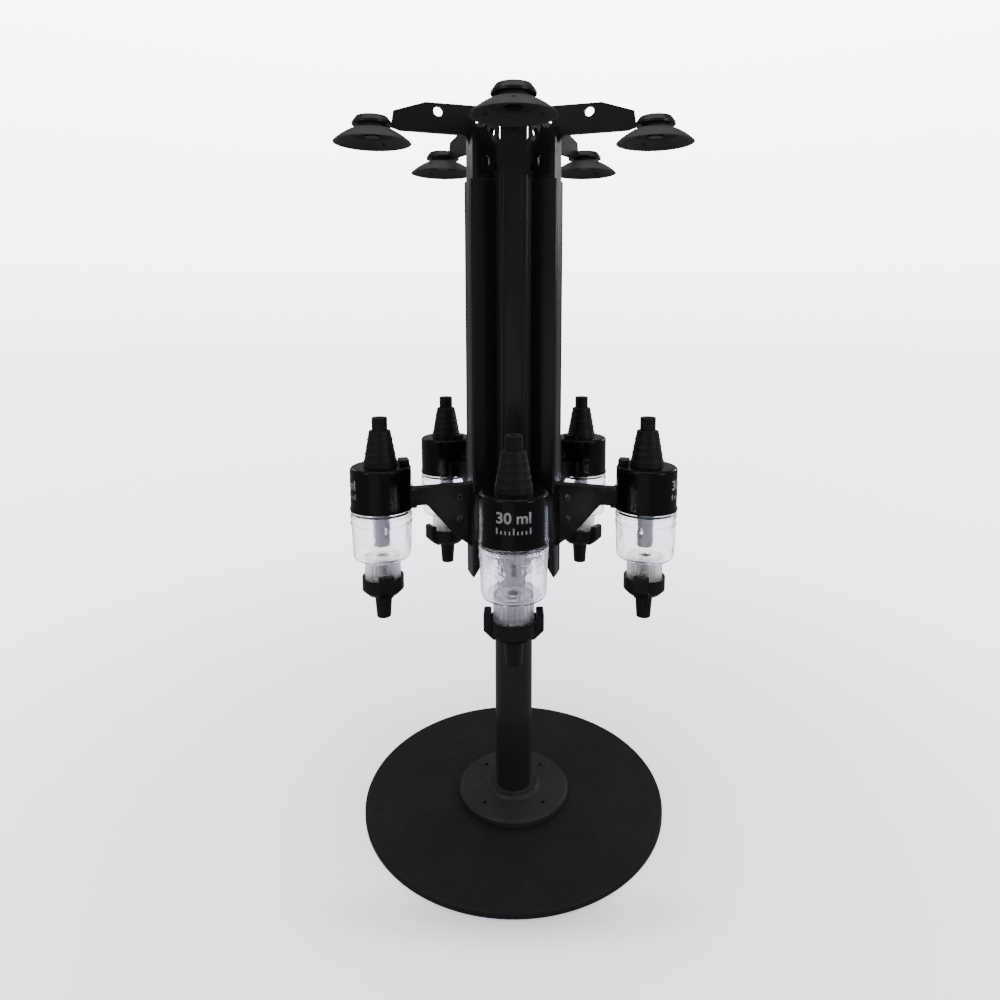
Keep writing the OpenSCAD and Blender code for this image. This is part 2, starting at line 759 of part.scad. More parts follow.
module bottle_arm(name) {
    color("#1c1c1d") at_station(name) difference() {
        union() {
            radial_plate(rounded([
                [leg_cut_r, arm_top_z, 0],
                [leg_cut_r, leg_cut_top_z, 0],
                [leg_r, leg_cut_z, 0],
                [leg_r, leg_z, 0],
                [leg_flange_r, leg_z, 0],
                [leg_flange_r, arm_z, arm_fillet],
                [arm_low_r, arm_z, 0],
                [station_r - head_r + over, head_z, 0],
                [arm_end_r, arm_end_z, 0],
                [arm_fall_r, arm_fall_z, 0]
            ]), arm_t);
            radial_plate([
                [leg_flange_r - leg_flange_t, leg_z],
                [leg_flange_r, leg_z],
                [leg_flange_r, arm_z + leg_flange_rise],
                [leg_flange_r - leg_flange_t, arm_z + leg_flange_rise]
            ], leg_flange_w);
            radial_plate([
                [tongue_r, tongue_z],
                [leg_face_r, tongue_z],
                [leg_face_r, leg_z + tongue_lap],
                [tongue_r, leg_z + tongue_lap]
            ], arm_w);
            translate([station_r, 0, 0]) rotate_extrude() polygon([
                [0, head_z],
                [head_r, head_z],
                [head_r, head_z + head_roof],
                [head_flat_d / 2, head_top_z],
                [0, head_top_z]
            ]);
        }
        cross_bore(arm_hole_r, arm_hole_d, arm_hole_z, arm_w + 2 * over);
        cross_bore(leg_hole_r, arm_hole_d, leg_hole_z, arm_w + 2 * over);
        for (side = [-1, 1])
            cross_bore(slot_r, slot_w, slot_z + side * (slot_h - slot_w) / 2, arm_w + 2 * over);
        translate([slot_r - slot_w / 2, -arm_w / 2 - over, slot_z - (slot_h - slot_w) / 2])
            cube([slot_w, arm_w + 2 * over, slot_h - slot_w]);
        translate([station_r, 0, head_z - over])
            cylinder(r = sleeve_r + free_gap, h = head_roof_z - head_z + over);
    }
    color("#1c1c1d") at_optic(name) {
        translate([0, 0, cup_plate_z - free_gap])
            cylinder(r = pin_r, h = head_roof_z - cup_plate_z + free_gap);
        translate([0, 0, cup_plate_z - free_gap - pin_head_h]) cylinder(d = pin_head_d, h = pin_head_h);
    }
}

module bottle_cup(name) {
    rim_in = cup_r - cup_wall;
    flat_r = cup_flat_d / 2;
    shoulder_r = cup_shoulder_d / 2;
    color("#2a2430") at_optic(name) difference() {
        rotate_extrude() polygon(concat(
            [[pin_r + running_fit, cup_plate_z]],
            [for (i = [0:corner_steps]) cup_curve(flat_r, cup_plate_rise, rim_in - flat_r, i)],
            [for (i = [corner_steps:-1:0]) cup_curve(shoulder_r, cup_h, cup_r - shoulder_r, i)],
            [[sleeve_r, cup_shoulder_z], [sleeve_r, sleeve_top_z], [sleeve_r - sleeve_wall, sleeve_top_z]],
            [[sleeve_r - sleeve_wall, cup_plate_top_z], [pin_r + running_fit, cup_plate_top_z]]
        ));
        for (i = [0:vent_n - 1])
            rotate(i * 360 / vent_n) translate([vent_r, 0, cup_z]) cylinder(d = vent_d, h = cup_h + over);
    }
}

// One point of the cup's skirt, from its top out to its rim
function cup_curve(inner, height, width, step) =
    let (a = 90 * step / corner_steps)
    [inner + width * pow(sin(a), cup_flare), cup_z + height * pow(cos(a), cup_flare)];

// One unbroken round wire along a helix between two heights, shortened in use by its travel
module coil(mean_r, wire, low, high, turns, travel) {
    sides = 6;
    rings = 8;
    count = turns * rings;
    rise = high - low - wire;
    slope = atan(rise / (2 * PI * mean_r * turns));
    path = [for (i = [0:count]) [360 * i / rings, low + wire / 2 + rise * i / count]];
    points = [for (p = path) for (k = [0:sides - 1])
        let (a = 360 * k / sides, out = mean_r + wire / 2 * cos(a), up = wire / 2 * sin(a))
        [
            out * cos(p[0]) + up * sin(slope) * sin(p[0]),
            out * sin(p[0]) - up * sin(slope) * cos(p[0]),
            p[1] + up * cos(slope)
        ]];
    centres = [for (p = path) [mean_r * cos(p[0]), mean_r * sin(p[0]), p[1]]];
    gaps = [for (i = [0:count - rings]) norm(centres[i + rings] - centres[i]) * cos(slope) - wire];
    pressed_gap = (rise - travel) / turns * cos(slope) - wire;
    echo(str("least gap between turns: ", min(gaps), " mm, pressed: ", pressed_gap, " mm"));
    walls = [for (i = [0:count - 1]) for (k = [0:sides - 1])
        let (a = i * sides + k, b = i * sides + (k + 1) % sides)
        each [[a, b, b + sides], [a, b + sides, a + sides]]];
    ends = [[for (k = [sides - 1:-1:0]) k], [for (k = [0:sides - 1]) count * sides + k]];
    polyhedron(points, concat(walls, ends));
}

module cup_spring(name) {
    color("#b9bcc0") at_optic(name)
        coil(
            cup_coil_r,
            cup_wire,
            cup_plate_top_z + free_gap,
            head_roof_z,
            cup_turns,
            cup_travel
        );
}

module valve_spring(name) {
    color("#b9bcc0") at_optic(name)
        coil(
            valve_coil_r,
            valve_wire,
            yoke_floor_z + free_gap,
            chamber_z,
            valve_turns,
            press_travel
        );
}

base_pad();
base_plate();
base_flange();
flange_screws();
pole();
thrust_collar();
guide_bushes();
core_tube();
bracket_hub();
for (s = STATIONS) {
    upright(s);
    bottle_arm(s);
    bottle_cup(s);
    cup_spring(s);
    measure_body(s);
    measure_chamber(s);
    metering_tube(s);
    bottle_stopper(s);
    press_yoke(s);
    valve_spring(s);
}
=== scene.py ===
"""Looks of a rotary bar dispenser: five upturned bottles over spring valve measures on a turning column.

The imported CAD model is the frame. This script softens its moulded edges, gives every node a finish and adds
the small pieces: seal rings, cup pads, vent plugs, screw heads, wound springs, weld bead and scale prints.
"""
import logging
import math
from contextlib import contextmanager
from dataclasses import dataclass
from enum import Enum
from typing import Callable, Iterator, Sequence

import bmesh
import bpy
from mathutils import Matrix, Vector


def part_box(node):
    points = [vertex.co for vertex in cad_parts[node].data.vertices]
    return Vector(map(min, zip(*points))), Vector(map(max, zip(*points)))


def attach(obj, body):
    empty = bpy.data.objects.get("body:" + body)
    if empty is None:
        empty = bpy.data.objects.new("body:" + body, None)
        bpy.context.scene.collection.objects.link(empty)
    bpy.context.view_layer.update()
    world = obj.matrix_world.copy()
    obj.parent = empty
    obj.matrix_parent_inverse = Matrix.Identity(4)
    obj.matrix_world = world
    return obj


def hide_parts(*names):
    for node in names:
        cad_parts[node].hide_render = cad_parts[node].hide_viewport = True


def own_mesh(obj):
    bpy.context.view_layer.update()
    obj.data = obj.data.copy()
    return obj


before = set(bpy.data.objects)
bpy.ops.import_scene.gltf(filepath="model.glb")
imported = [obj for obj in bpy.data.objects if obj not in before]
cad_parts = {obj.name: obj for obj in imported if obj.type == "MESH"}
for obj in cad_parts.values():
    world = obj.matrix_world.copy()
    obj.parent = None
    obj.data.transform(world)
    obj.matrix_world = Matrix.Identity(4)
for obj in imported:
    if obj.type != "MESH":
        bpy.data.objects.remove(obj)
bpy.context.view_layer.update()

Piece = bpy.types.Object
Socket = bpy.types.NodeSocket
Triple = tuple[float, float, float]

log = logging.getLogger("dispenser")
MM = 0.001
ROUND_STEPS = 96
UPRIGHT = (math.pi / 2, 0, math.pi / 2)
MERGE_DISTANCE = 0.002 * MM
FLAT_ANGLE = 0.4
SHADE_ANGLE, COARSE_ANGLE = 32.0, 40.0
# Least Z of the normal of a face that looks up, and of one that is level
FACING_UP, LEVEL = 0.9, 0.99

# Sockets of a Mix node, which share their names and so are told apart by number
FACTOR, FLOAT_A, FLOAT_B, COLOUR_A, COLOUR_B = 0, 2, 3, 6, 7
FLOAT_MIX, COLOUR_MIX = 0, 2

# Patterns that all solid finishes share: lumps per metre, and the ranges that they are stretched onto
CLOUD_SCALE, CLOUD_RANGE = 28.0, (0.25, 1.0)
SPECK_SHARE, SPECK_RANGE = 0.8, (0.5, 1.0)
SMEAR_SCALE = 95.0
WAVE_SCALE, WAVE_STRENGTH = 60.0, 0.5
PEEL_SHARE, PEEL_STRENGTH = 0.35, 0.35
LUMP_SHARE, LUMP_STRENGTH = 0.2, 0.2
RUBBER_SHEEN, RUBBER_SHEEN_ROUGHNESS = 0.08, 0.4
COAT_ROUGHNESS = 0.1
DUST_COLOUR = (0.16, 0.155, 0.15)
DUST_SCALE, DUST_PATCHES, DUST_SLOPES = 420.0, (0.48, 0.7), (0.5, 1.0)


class Station(Enum):
    """The five bottle stations, in turning order from the one in front."""

    FRONT = "front"
    RIGHT = "right"
    REAR_RIGHT = "rear_right"
    REAR_LEFT = "rear_left"
    LEFT = "left"

    @property
    def turn(self) -> float:
        """Turn about the column from the front station to this one, in radians."""
        return 2 * math.pi * list(Station).index(self) / len(Station)

    @property
    def angle(self) -> float:
        """Direction of the station's arm from the turning axis, in radians."""
        return self.turn - math.pi / 2

    def place(self, radius: float, side: float, height: float) -> Vector:
        """Gives a point in the frame from the station's own directions.

        Args:
            radius: Distance outward from the turning axis, in metres.
            side: Distance sideways from the station's middle plane, in metres.
            height: Height above the floor, in metres.

        Returns:
            The point, in metres.
        """
        along = Vector((math.cos(self.angle), math.sin(self.angle), 0))
        across = Vector((-math.sin(self.angle), math.cos(self.angle), 0))
        return along * radius + across * side + Vector((0, 0, height))


class Texture(Enum):
    """The kinds of surface that the finishes have."""

    POWDER = "powder coat"
    MOULDED = "moulded plastic"
    RUBBER = "rubber"
    TURNED = "turned metal"
    INK = "printed ink"


class Nodes:
    """A material's node tree, with short calls to add and join nodes."""

    def __init__(self, material: bpy.types.Material) -> None:
        """Empties the tree and adds the shader and the output.

        Args:
            material: The material whose tree is built.
        """
        material.use_nodes = True
        self.tree = material.node_tree
        self.tree.nodes.clear()
        self.shader = self.add("ShaderNodeBsdfPrincipled")
        output = self.add("ShaderNodeOutputMaterial")
        self.join(self.shader.outputs["BSDF"], output.inputs["Surface"])
        self.coords = self.add("ShaderNodeTexCoord")

    def add(self, kind: str, **values: object) -> bpy.types.Node:
        """Adds one node.

        Args:
            kind: Blender's name for the node's type.
            **values: The node's settings, or where no setting has the name, its inputs' values.

        Returns:
            The new node.
        """
        node = self.tree.nodes.new(kind)
        for key, value in values.items():
            if hasattr(node, key):
                setattr(node, key, value)
            else:
                node.inputs[key.replace("_", " ")].default_value = value
        return node

    def join(self, start: Socket, end: Socket) -> None:
        """Links one output to one input."""
        self.tree.links.new(start, end)

    def noise(self, scale: float, detail: float, stretch: Sequence[float] = (1, 1, 1)) -> Socket:
        """Adds a noise pattern on the object's own coordinates.

        Args:
            scale: Lumps per metre.
            detail: How many finer layers the noise has.
            stretch: Scale of the pattern along X, Y and Z.

        Returns:
            The pattern's value output.
        """
        mapping = self.add("ShaderNodeMapping", Scale=stretch)
        self.join(self.coords.outputs["Object"], mapping.inputs["Vector"])
        pattern = self.add("ShaderNodeTexNoise", Scale=scale, Detail=detail)
        self.join(mapping.outputs["Vector"], pattern.inputs["Vector"])
        return pattern.outputs["Fac"]

    def remap(self, value: Socket, low: float, high: float, span: Sequence[float] = (0.3, 0.7),
              smooth: bool = False) -> Socket:
        """Stretches a pattern onto a new range.

        Args:
            value: The pattern.
            low: Result at the lower end of the span.
            high: Result at the upper end of the span.
            span: The part of the pattern's range that is used.
            smooth: Whether the result eases in and out.

        Returns:
            The new value output.
        """
        node = self.add("ShaderNodeMapRange", interpolation_type="SMOOTHSTEP" if smooth else "LINEAR",
                        From_Min=span[0], From_Max=span[1], To_Min=low, To_Max=high)
        self.join(value, node.inputs["Value"])
        return node.outputs["Result"]

    def multiply(self, first: Socket, second: Socket) -> Socket:
        """Multiplies two values.

        Args:
            first: One value.
            second: The other value.

        Returns:
            Their product's output.
        """
        node = self.add("ShaderNodeMath", operation="MULTIPLY")
        self.join(first, node.inputs[0])
        self.join(second, node.inputs[1])
        return node.outputs["Value"]

    def distance(self, centre: Sequence[float] = (0, 0), reach: Sequence[float] = (1, 1)) -> Socket:
        """Gives the distance on the floor from a point, as a share of an oval's half axes.

        Args:
            centre: The oval's middle, in metres.
            reach: The oval's half axes, in metres.

        Returns:
            The distance output.
        """
        moved = self.add("ShaderNodeVectorMath", operation="MULTIPLY_ADD")
        moved.inputs[1].default_value = (1 / reach[0], 1 / reach[1], 0)
        moved.inputs[2].default_value = (-centre[0] / reach[0], -centre[1] / reach[1], 0)
        self.join(self.coords.outputs["Object"], moved.inputs[0])
        length = self.add("ShaderNodeVectorMath", operation="LENGTH")
        self.join(moved.outputs["Vector"], length.inputs[0])
        return length.outputs["Value"]

    def upward(self, part: str = "Object") -> Socket:
        """Gives the height above the floor in metres, or how far the surface faces up.

        Args:
            part: "Object" for the height, "Normal" for the facing.

        Returns:
            The value output.
        """
        split = self.add("ShaderNodeSeparateXYZ")
        self.join(self.coords.outputs[part], split.inputs[0])
        return split.outputs["Z"]

    def tint(self, value: Socket, below: Sequence[float] | Socket, above: Sequence[float]) -> Socket:
        """Lays a plain colour over another colour by a pattern.

        Args:
            value: The pattern, 0 for none of the upper colour.
            below: The colour that is covered, plain or another pattern's output.
            above: The plain upper colour.

        Returns:
            The colour output.
        """
        mix = self.add("ShaderNodeMix", data_type="RGBA")
        self.join(value, mix.inputs[FACTOR])
        if isinstance(below, Socket):
            self.join(below, mix.inputs[COLOUR_A])
        else:
            mix.inputs[COLOUR_A].default_value = (*below, 1)
        mix.inputs[COLOUR_B].default_value = (*above, 1)
        return mix.outputs[COLOUR_MIX]

    def bump(self, layers: Sequence[tuple[Socket, float, float]]) -> None:
        """Stacks relief layers onto the shader's normal.

        Args:
            layers: Pattern, strength and height in metres of each layer.
        """
        below = None
        for value, strength, distance in layers:
            node = self.add("ShaderNodeBump", Strength=strength, Distance=distance)
            self.join(value, node.inputs["Height"])
            if below is not None:
                self.join(below.outputs["Normal"], node.inputs["Normal"])
            below = node
        if below is not None:
            self.join(below.outputs["Normal"], self.shader.inputs["Normal"])


@dataclass(frozen=True)
class Surface:
    """What all finishes share: a name, and a material that is built once."""

    name: str

    def material(self) -> bpy.types.Material:
        """Builds the material when it's first asked for, and gives it again later.

        Returns:
            The material.
        """
        made = bpy.data.materials.get(self.name)
        if made is None:
            made = bpy.data.materials.new(self.name)
            self.lay(Nodes(made))
        return made

    def lay(self, nodes: Nodes) -> None:
        """Fills the material's empty node tree, in each kind of finish in its own way."""
        raise NotImplementedError


@dataclass(frozen=True)
class Grain:
    """A fine relief: its lumps per metre, their height in metres, and how strongly it shows."""

    scale: float
    height: float
    strength: float


@dataclass(frozen=True)
class Finish(Surface):
    """A solid finish: its colours, its gloss and the scale and height of its texture."""

    texture: Texture
    dark: Triple
    light: Triple
    roughness: tuple[float, float]
    gloss: float = 0.35
    metallic: float = 0.0
    coat: float = 0.0
    dust: float = 0.15
    grain: Grain = Grain(1500.0, 0.08 * MM, 0.25)
    wave: float = 0.0
    stretch: Triple = (1.0, 1.0, 1.0)

    def lay(self, nodes: Nodes) -> None:
        """Sets the gloss, and lays colour, roughness and relief.

        Args:
            nodes: The material's node tree.
        """
        sockets = nodes.shader.inputs
        sockets["Metallic"].default_value = self.metallic
        sockets["Specular IOR Level"].default_value = self.gloss
        sockets["Coat Weight"].default_value = self.coat
        sockets["Coat Roughness"].default_value = COAT_ROUGHNESS
        if self.texture is Texture.RUBBER:
            sockets["Sheen Weight"].default_value = RUBBER_SHEEN
            sockets["Sheen Roughness"].default_value = RUBBER_SHEEN_ROUGHNESS
        nodes.join(self.colour(nodes), sockets["Base Color"])
        smears = nodes.noise(SMEAR_SCALE, 6.0, self.stretch)
        nodes.join(nodes.remap(smears, *self.roughness), sockets["Roughness"])
        nodes.bump(self.relief(nodes))

    def colour(self, nodes: Nodes) -> Socket:
        """Mixes the finish's two colours by clouds and specks, and lays dust on what faces up.

        Args:
            nodes: The material's node tree.

        Returns:
            The colour output.
        """
        cloud = nodes.remap(nodes.noise(CLOUD_SCALE, 5.0), *CLOUD_RANGE)
        speck = nodes.remap(nodes.noise(self.grain.scale * SPECK_SHARE, 1.0), *SPECK_RANGE)
        base = nodes.tint(nodes.multiply(cloud, speck), self.dark, self.light)
        facing = nodes.remap(nodes.upward("Normal"), 0.0, self.dust, DUST_SLOPES)
        patches = nodes.remap(nodes.noise(DUST_SCALE, 6.0), 0.0, 1.0, DUST_PATCHES)
        return nodes.tint(nodes.multiply(facing, patches), base, DUST_COLOUR)

    def relief(self, nodes: Nodes) -> list[tuple[Socket, float, float]]:
        """Gives the layers of relief that the kind of surface has.

        Args:
            nodes: The material's node tree.

        Returns:
            Pattern, strength and height of each layer.
        """
        grain = self.grain
        layers = [(nodes.noise(grain.scale, 2.0, self.stretch), grain.strength, grain.height)]
        if self.texture is Texture.POWDER:
            layers.append((nodes.noise(grain.scale * PEEL_SHARE, 3.0), PEEL_STRENGTH, grain.height * 2))
        if self.texture is Texture.RUBBER:
            layers.append((nodes.noise(grain.scale * LUMP_SHARE, 4.0), LUMP_STRENGTH, grain.height * 2))
        if self.wave > 0:
            layers.append((nodes.noise(WAVE_SCALE, 1.0, self.stretch), WAVE_STRENGTH, self.wave))
        return layers


@dataclass(frozen=True)
class ClearPlastic(Surface):
    """A clear moulded wall with flow marks and haze, which is smoked and frosted on its neck."""

    colour: Triple
    neck_colour: Triple
    roughness: tuple[float, float]
    neck_roughness: float
    neck_top: tuple[float, float]
    speck_tone: float = 0.84
    speck_scale: float = 330.0
    index: float = 1.49
    haze_scale: float = 70.0
    flow: Grain = Grain(90.0, 0.9 * MM, 0.5)
    pebble: Grain = Grain(340.0, 0.35 * MM, 0.35)

    def lay(self, nodes: Nodes) -> None:
        """Lays the clear wall, which blends into the smoked neck by height.

        Args:
            nodes: The material's node tree.
        """
        nodes.shader.inputs["IOR"].default_value = self.index
        nodes.shader.inputs["Transmission Weight"].default_value = 1.0
        on_neck = nodes.remap(nodes.upward(), 1.0, 0.0, self.neck_top, smooth=True)
        haze = nodes.noise(self.haze_scale, 4.0, (1, 1, 0.25))
        speck = nodes.remap(nodes.noise(self.speck_scale, 3.0), 0.0, 1.0)
        tone = nodes.tint(speck, tuple(self.speck_tone * part for part in self.colour), self.colour)
        nodes.join(nodes.tint(on_neck, tone, self.neck_colour), nodes.shader.inputs["Base Color"])
        frost = nodes.add("ShaderNodeMix", data_type="FLOAT")
        frost.inputs[FLOAT_B].default_value = self.neck_roughness
        nodes.join(on_neck, frost.inputs[FACTOR])
        nodes.join(nodes.remap(haze, *self.roughness), frost.inputs[FLOAT_A])
        nodes.join(frost.outputs[FLOAT_MIX], nodes.shader.inputs["Roughness"])
        nodes.bump([
            (nodes.noise(self.flow.scale, 3.0, (1, 1, 0.7)), self.flow.strength, self.flow.height),
            (nodes.noise(self.pebble.scale, 2.0), self.pebble.strength, self.pebble.height),
        ])


@dataclass(frozen=True)
class Glow(Surface):
    """An even studio surface, whose brightness goes from one value to another by distance or height."""

    colour: Triple
    near: float
    far: float
    reach: float
    upright: bool
    # Depth of the shadow of the plate that is painted onto the floor, the share of its oval that is fully
    # dark, and the oval's middle and half axes in metres
    shade: float = 0.0
    painted_shadow_core: float = 0.1
    painted_shadow_centre: tuple[float, float] = (0.0, -0.146)
    painted_shadow_reach: tuple[float, float] = (0.2, 0.046)
    roughness: float = 0.9

    def lay(self, nodes: Nodes) -> None:
        """Lays the studio surface's colour and its own light.

        Args:
            nodes: The material's node tree.
        """
        sockets = nodes.shader.inputs
        sockets["Base Color"].default_value = sockets["Emission Color"].default_value = (*self.colour, 1)
        sockets["Roughness"].default_value = self.roughness
        if self.upright:
            strength = nodes.remap(nodes.upward(), self.near, self.far, (0.0, self.reach))
        else:
            strength = self.fading(nodes)
        nodes.join(strength, sockets["Emission Strength"])

    def fading(self, nodes: Nodes) -> Socket:
        """Gives the floor's brightness, which rises with distance and dips in a shadow of the plate that is
        painted on.

        Args:
            nodes: The material's node tree.

        Returns:
            The brightness output.
        """
        power = nodes.add("ShaderNodeMath", operation="POWER")
        power.inputs[0].default_value = math.exp(-1 / self.reach)
        nodes.join(nodes.distance(), power.inputs[1])
        strength = nodes.remap(power.outputs["Value"], self.far, self.near, (0.0, 1.0))
        # Painted shadow of the plate: the floor's brightness dips in an oval in front of the plate
        painted_shadow_distance = nodes.distance(self.painted_shadow_centre, self.painted_shadow_reach)
        painted_shadow_dip = nodes.remap(painted_shadow_distance, 1 - self.shade, 1.0, (self.painted_shadow_core, 1.0), smooth=True)
        return nodes.multiply(strength, painted_shadow_dip)


@dataclass(frozen=True)
class Place:
    """Where a finished piece belongs: its name, body and material slot, and the CAD node it stands for."""

    name: str
    body: str
    slot: str
    node: str = ""

    def at(self, station: Station) -> "Place":
        """Gives the same place at one station, whose word is added to the names.

        Args:
            station: The station.

        Returns:
            The place there.
        """
        word = station.value
        body = self.body if self.body == "carousel" else f"{self.body}_{word}"
        node = f"{self.node}_{word}" if self.node else ""
        return Place(f"{self.name}_{word}", body, self.slot, node)


BASE_COAT = Finish(
    "powder coated plate", Texture.POWDER, (0.0116, 0.0097, 0.0116), (0.0226, 0.0186, 0.0226),
    (0.46, 0.58), gloss=0.32, dust=0.06, grain=Grain(900.0, 0.12 * MM, 0.5))
FLANGE_COAT = Finish(
    "powder coated flange", Texture.POWDER, (0.031, 0.0294, 0.0318), (0.053, 0.0502, 0.0546),
    (0.36, 0.52), gloss=0.35, dust=0.06, grain=Grain(1100.0, 0.1 * MM, 0.4))
POLE_COAT = Finish(
    "satin black tube", Texture.POWDER, (0.0195, 0.019, 0.0205), (0.034, 0.0332, 0.0358), (0.26, 0.38),
    coat=0.22, grain=Grain(1600.0, 0.04 * MM, 0.25), stretch=(1.0, 1.0, 0.12))
COLUMN_BLACK = Finish(
    "glossy black extrusion", Texture.MOULDED, (0.0088, 0.0086, 0.0093), (0.0145, 0.0142, 0.0153),
    (0.22, 0.36), coat=0.2, dust=0.05, grain=Grain(1500.0, 0.03 * MM, 0.15), wave=0.3 * MM,
    stretch=(1.0, 1.0, 0.05))
HUB_BLACK = Finish(
    "moulded hub black", Texture.MOULDED, (0.0078, 0.0074, 0.0082), (0.0132, 0.0124, 0.0138),
    (0.36, 0.52), gloss=0.28, dust=0.06, grain=Grain(1500.0, 0.07 * MM, 0.35), wave=0.2 * MM)
CORE_BLACK = Finish(
    "core tube black", Texture.MOULDED, (0.006, 0.006, 0.0063), (0.0105, 0.0105, 0.011), (0.4, 0.55),
    grain=Grain(1500.0, 0.05 * MM, 0.25), stretch=(1.0, 1.0, 0.08))
ARM_BLACK = Finish(
    "moulded arm black", Texture.MOULDED, (0.0098, 0.0092, 0.0104), (0.016, 0.0148, 0.0172), (0.3, 0.45),
    coat=0.06, dust=0.08, grain=Grain(1500.0, 0.06 * MM, 0.3), wave=0.25 * MM)
BODY_BLACK = Finish(
    "glossy measure black", Texture.MOULDED, (0.0045, 0.0042, 0.0066), (0.0078, 0.0073, 0.0108),
    (0.14, 0.28), gloss=0.2, coat=0.08, dust=0.05, grain=Grain(1500.0, 0.03 * MM, 0.15), wave=0.15 * MM)
YOKE_BLACK = Finish(
    "satin yoke black", Texture.MOULDED, (0.0085, 0.0084, 0.009), (0.0145, 0.0142, 0.0152), (0.3, 0.45),
    dust=0.05, grain=Grain(1500.0, 0.06 * MM, 0.3))
CUP_RUBBER = Finish(
    "cup rubber", Texture.RUBBER, (0.054, 0.036, 0.055), (0.1, 0.068, 0.104), (0.45, 0.62), gloss=0.4,
    dust=0.02, grain=Grain(700.0, 0.1 * MM, 0.35), wave=0.2 * MM)
PAD_RUBBER = Finish(
    "pad rubber", Texture.RUBBER, (0.03, 0.027, 0.031), (0.052, 0.046, 0.054), (0.6, 0.8),
    grain=Grain(800.0, 0.15 * MM, 0.5))
STOPPER_RUBBER = Finish(
    "stopper rubber", Texture.RUBBER, (0.0056, 0.0053, 0.006), (0.011, 0.0103, 0.0114), (0.42, 0.6),
    dust=0.06, grain=Grain(900.0, 0.08 * MM, 0.35))
TUBE_GREY = Finish(
    "grey metering tube", Texture.MOULDED, (0.034, 0.033, 0.037), (0.066, 0.064, 0.07), (0.32, 0.48),
    grain=Grain(1500.0, 0.04 * MM, 0.2))
BUSH_IVORY = Finish("ivory bush", Texture.MOULDED, (0.52, 0.49, 0.41), (0.62, 0.59, 0.51), (0.4, 0.55))
COLLAR_STEEL = Finish(
    "turned collar steel", Texture.TURNED, (0.33, 0.33, 0.34), (0.5, 0.5, 0.51), (0.22, 0.38), gloss=0.5,
    metallic=1.0, grain=Grain(1500.0, 0.03 * MM, 0.25), stretch=(1.0, 1.0, 12.0))
SPRING_STEEL = Finish(
    "bright spring wire", Texture.TURNED, (0.5, 0.5, 0.52), (0.72, 0.72, 0.74), (0.14, 0.26), gloss=0.5,
    metallic=1.0, grain=Grain(1500.0, 0.02 * MM, 0.2))
SCREW_STEEL = Finish(
    "blackened screw steel", Texture.TURNED, (0.06, 0.06, 0.064), (0.12, 0.12, 0.128), (0.26, 0.42),
    gloss=0.5, metallic=1.0, grain=Grain(1500.0, 0.03 * MM, 0.25))
SCALE_WHITE = Finish(
    "scale print", Texture.INK, (0.5, 0.5, 0.58), (0.76, 0.76, 0.86), (0.45, 0.6), dust=0.0,
    grain=Grain(1500.0, 0.03 * MM, 0.3))
CHAMBER_CLEAR = ClearPlastic(
    "clear chamber", (0.965, 0.958, 0.962), (0.56, 0.53, 0.52), (0.03, 0.2), 0.42, (0.2795, 0.2825))
# The floor's shade is a painted shadow of the plate, half as bright at its darkest
FLOOR_GLOW = Glow("pale floor", (0.765, 0.852, 1.0), 1.08, 4.8, 0.85, upright=False, shade=0.5)
ROOM_GLOW = Glow("pale backdrop", (0.78, 0.866, 1.0), 4.95, 9.8, 4.2, upright=True)


def clear_selection() -> None:
    """Leaves nothing selected, so that an operator acts on the new piece alone."""
    if bpy.context.object is not None and bpy.context.object.mode != "OBJECT":
        bpy.ops.object.mode_set(mode="OBJECT")
    bpy.ops.object.select_all(action="DESELECT")


def activate(piece: Piece) -> None:
    """Selects one piece and makes it the active one.

    Args:
        piece: The piece.
    """
    clear_selection()
    piece.select_set(True)
    bpy.context.view_layer.objects.active = piece


def placed(name: str, data: bpy.types.ID) -> Piece:
    """Puts a mesh, lamp or camera into the scene as a new object.

    Args:
        name: The object's name.
        data: The mesh, lamp or camera.

    Returns:
        The object.
    """
    made = bpy.data.objects.new(name, data)
    bpy.context.scene.collection.objects.link(made)
    return made


def fix_place(piece: Piece) -> None:
    """Puts a piece's place, turn and scale into its mesh, so that its object is at the origin."""
    activate(piece)
    bpy.ops.object.transform_apply(location=True, rotation=True, scale=True)


@contextmanager
def editing(piece: Piece) -> Iterator[None]:
    """Holds a piece in edit mode, with all of it selected at first.

    Args:
        piece: The piece to shape.

    Yields:
        Nothing, once, while the piece is in edit mode.
    """
    activate(piece)
    bpy.ops.object.mode_set(mode="EDIT")
    bpy.ops.mesh.select_all(action="SELECT")
    try:
        yield
    finally:
        bpy.ops.object.mode_set(mode="OBJECT")


def pick_faces(piece: Piece, wanted: Callable[[Vector, Vector], bool]) -> None:
    """Selects the faces of a piece in edit mode by their middle and normal.

    Args:
        piece: The piece in edit mode.
        wanted: Says of a face's middle and normal, in the piece's coordinates, whether it is selected.
    """
    bpy.ops.mesh.select_mode(type="FACE")
    bpy.ops.mesh.select_all(action="DESELECT")
    for face in bmesh.from_edit_mesh(piece.data).faces:
        if wanted(face.calc_center_median(), face.normal):
            face.select_set(True)
    bmesh.update_edit_mesh(piece.data)


def added(primitive: Callable[..., object], **sizes: object) -> Piece:
    """Adds one of Blender's primitives, with nothing else selected.

    Args:
        primitive: The operator that adds it.
        **sizes: The operator's settings.

    Returns:
        The new piece.
    """
    clear_selection()
    primitive(**sizes)
    return bpy.context.object


def modify(piece: Piece, name: str, kind: str, **settings: object) -> None:
    """Gives a piece a modifier and applies it.

    Args:
        piece: The piece.
        name: What the modifier is for.
        kind: Blender's name for its type.
        **settings: Its settings.
    """
    modifier = piece.modifiers.new(name, kind)
    for key, value in settings.items():
        setattr(modifier, key, value)
    activate(piece)
    bpy.ops.object.modifier_apply(modifier=name)


